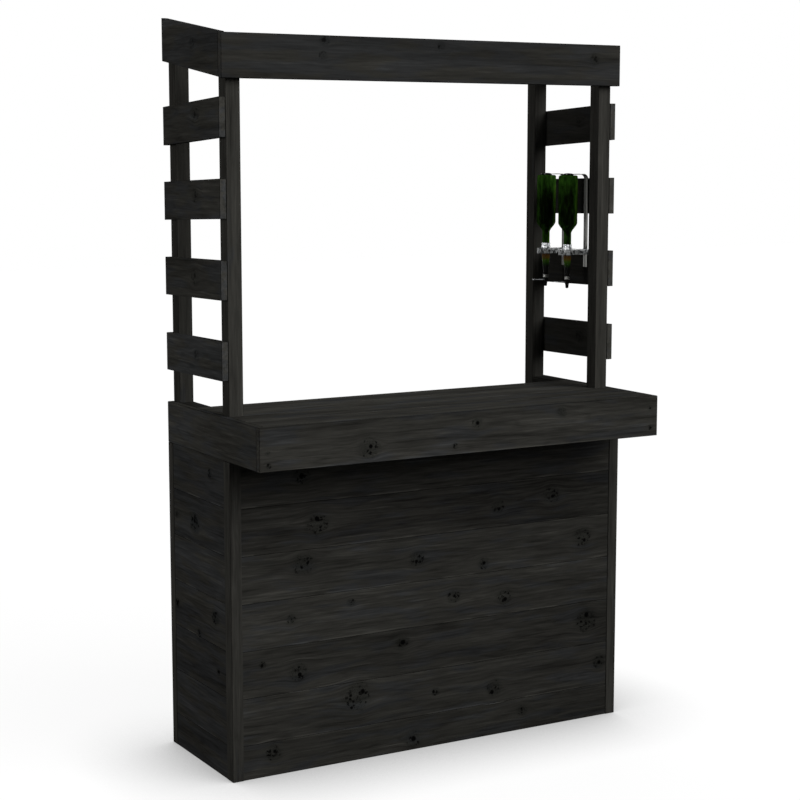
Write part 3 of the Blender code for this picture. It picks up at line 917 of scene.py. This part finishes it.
def bottleAxis(number):
    low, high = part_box(f"bottle_{number}")
    return Vector(((low.x + high.x) / 2, (low.y + high.y) / 2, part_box("clamp_1")[0].z))


def copyPiece(piece, offset):
    selectNothing()
    piece.select_set(True)
    bpy.context.view_layer.objects.active = piece
    bpy.ops.object.duplicate()
    copy = bpy.context.object
    copy.location = offset
    bpy.ops.object.transform_apply(location=True, rotation=True, scale=True)
    return copy


def makeDispenser():
    # the first of the two is modelled, and the second is copied from it
    axis = bottleAxis(1)
    bottleLow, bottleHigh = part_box("bottle_1")
    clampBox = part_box("clamp_1")
    foot, top = bottleLow.z - axis.z, bottleHigh.z - axis.z
    underFoot = -measureShape["length"]
    smoothed = {name: smoothFinish(name, look) for name, look in smoothLooks.items()}
    # each piece with its finish, its slot and the node that it stands for
    pieces = [
        (makeBottle(axis, foot, top), bottleGlass(bottleHigh.z), "green_glass", "bottle"),
        (makeCollar(axis, clampBox[1].z - axis.z), smoothed["chrome"], "clear_plastic", "measure"),
        (makeChamber(axis), smoothed["clear_chamber"], "clear_plastic", "measure"),
        (makeCore(axis), coreTint(axis.z), "clear_plastic", "measure"),
        (turnPiece("ring", axis, raised(measureShape["ring"], underFoot)),
         smoothed["bright_steel"], "clear_plastic", "measure"),
        (turnPiece("nozzle", axis, raised(measureShape["nozzle"], underFoot)),
         smoothed["black_rubber"], "black_rubber", "measure"),
        (makeLever(axis), smoothed["chrome"], "bright_steel", "measure"),
        (makeClamp(axis, *clampBox), smoothed["clear_plastic"], "clear_plastic", "clamp"),
        (makeHolder(axis, *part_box("holder_1")), smoothed["bright_steel"], "bright_steel", "holder"),
        (turnPiece("knob", axis, raised(knobShape, top), 36), smoothed["black_rubber"], "black_rubber", "pad"),
    ]
    offset = bottleAxis(2) - axis
    copies = [(copyPiece(row[0], offset), *row[1:]) for row in pieces]
    names = [row[0].name for row in pieces]
    for number, rows in ((1, pieces), (2, copies)):
        for name, (piece, finish, slot, node) in zip(names, rows):
            piece.name = piece.data.name = f"{name}_{number}"
            putOn(piece, finish, slot, f"{node}_{number}")


makeDispenser()
print("dispenser made")


# floor, background and light
stageLook = {
    "floorSize": 40.0,
    "floorBounce": (0.12, 0.12, 0.12, 1.0),
    "floorWhite": (1.0, 1.0, 1.0, 1.0),
    "floorGlow": 0.90,
    "shadeReach": 0.34,
    "ambient": 0.08,
    "suns": {
        "key": {"strength": 3.50, "turn": 30, "height": 33, "spread": 54},
        "left": {"strength": 1.85, "turn": -92, "height": 6, "spread": 24},
        "back": {"strength": 1.2, "turn": 165, "height": 32, "spread": 50},
    },
}
# the photograph's viewpoint; the focal length is in pixels of a square image
cameraLook = {
    "place": (-2.5092, -4.2675, 1.6075), "pitch": 7.686, "turn": -29.97,
    "focal": 1842.756, "imageSize": 800, "sensor": 36,
}


def seenDirectly(shade):
    # 1 for what the camera sees, itself or through metal and glass
    camera = shade.node("ShaderNodeLightPath", output="Is Camera Ray")
    total = camera + camera.output("Is Glossy Ray") + camera.output("Is Transmission Ray")
    return total.maths("MINIMUM", 1.0)


def makeFloor():
    selectNothing()
    bpy.ops.mesh.primitive_plane_add(size=stageLook["floorSize"])
    floor = bpy.context.object
    floor.name = "floor"
    material, shade, shader = newMaterial("pale_floor", {"Roughness": 1.0, "Specular IOR Level": 0.0})
    shader.inputs["Base Color"].default_value = stageLook["floorBounce"]
    bounce = Shade(shade.tree, shader.outputs[0])
    # painted shade: the floor's glow is darkened by ambient occlusion round the object, not by the lamps
    paintedContactShade = shade.node(
        "ShaderNodeAmbientOcclusion", {"samples": 8},
        {"Color": stageLook["floorWhite"], "Distance": stageLook["shadeReach"]},
    )
    glow = shade.node("ShaderNodeEmission", None, {"Color": paintedContactShade, "Strength": stageLook["floorGlow"]})
    seen = shade.node("ShaderNodeAddShader", None, {0: bounce, 1: glow})
    choice = shade.node("ShaderNodeMixShader", None, {0: seenDirectly(shade), 1: bounce, 2: seen})
    output = [node for node in shade.tree.nodes if node.type == "OUTPUT_MATERIAL"][0]
    shade.tree.links.new(choice.socket, output.inputs["Surface"])
    floor.data.materials.append(material)


def makeWorld():
    world = bpy.data.worlds.new("studio")
    bpy.context.scene.world = world
    world.use_nodes = True
    shade = Shade(world.node_tree)
    ambient = world.node_tree.nodes["Background"]
    ambient.inputs["Color"].default_value = (1, 1, 1, 1)
    ambient.inputs["Strength"].default_value = stageLook["ambient"]
    dim = Shade(shade.tree, ambient.outputs[0])
    white = shade.node("ShaderNodeBackground", None, {"Color": (1, 1, 1, 1), "Strength": 1.0})
    choice = shade.node("ShaderNodeMixShader", None, {0: seenDirectly(shade), 1: dim, 2: white})
    shade.tree.links.new(choice.socket, world.node_tree.nodes["World Output"].inputs["Surface"])


def makeSuns():
    for name, sun in stageLook["suns"].items():
        selectNothing()
        bpy.ops.object.light_add(type="SUN", location=(0, 0, 4))
        lamp = bpy.context.object
        lamp.name = f"light_{name}"
        lamp.data.energy = sun["strength"]
        lamp.data.angle = radians(sun["spread"])
        lamp.rotation_euler = (radians(90 - sun["height"]), 0, radians(sun["turn"]))


def makeCamera():
    look = cameraLook
    bpy.ops.object.camera_add(
        location=look["place"], rotation=(radians(90 - look["pitch"]), 0, radians(look["turn"]))
    )
    camera = bpy.context.object
    camera.data.sensor_width = look["sensor"]
    camera.data.lens = look["focal"] / look["imageSize"] * look["sensor"]
    bpy.context.scene.camera = camera


makeFloor()
makeWorld()
makeSuns()
makeCamera()
bpy.context.scene.view_settings.view_transform = "Standard"
print("stage made")
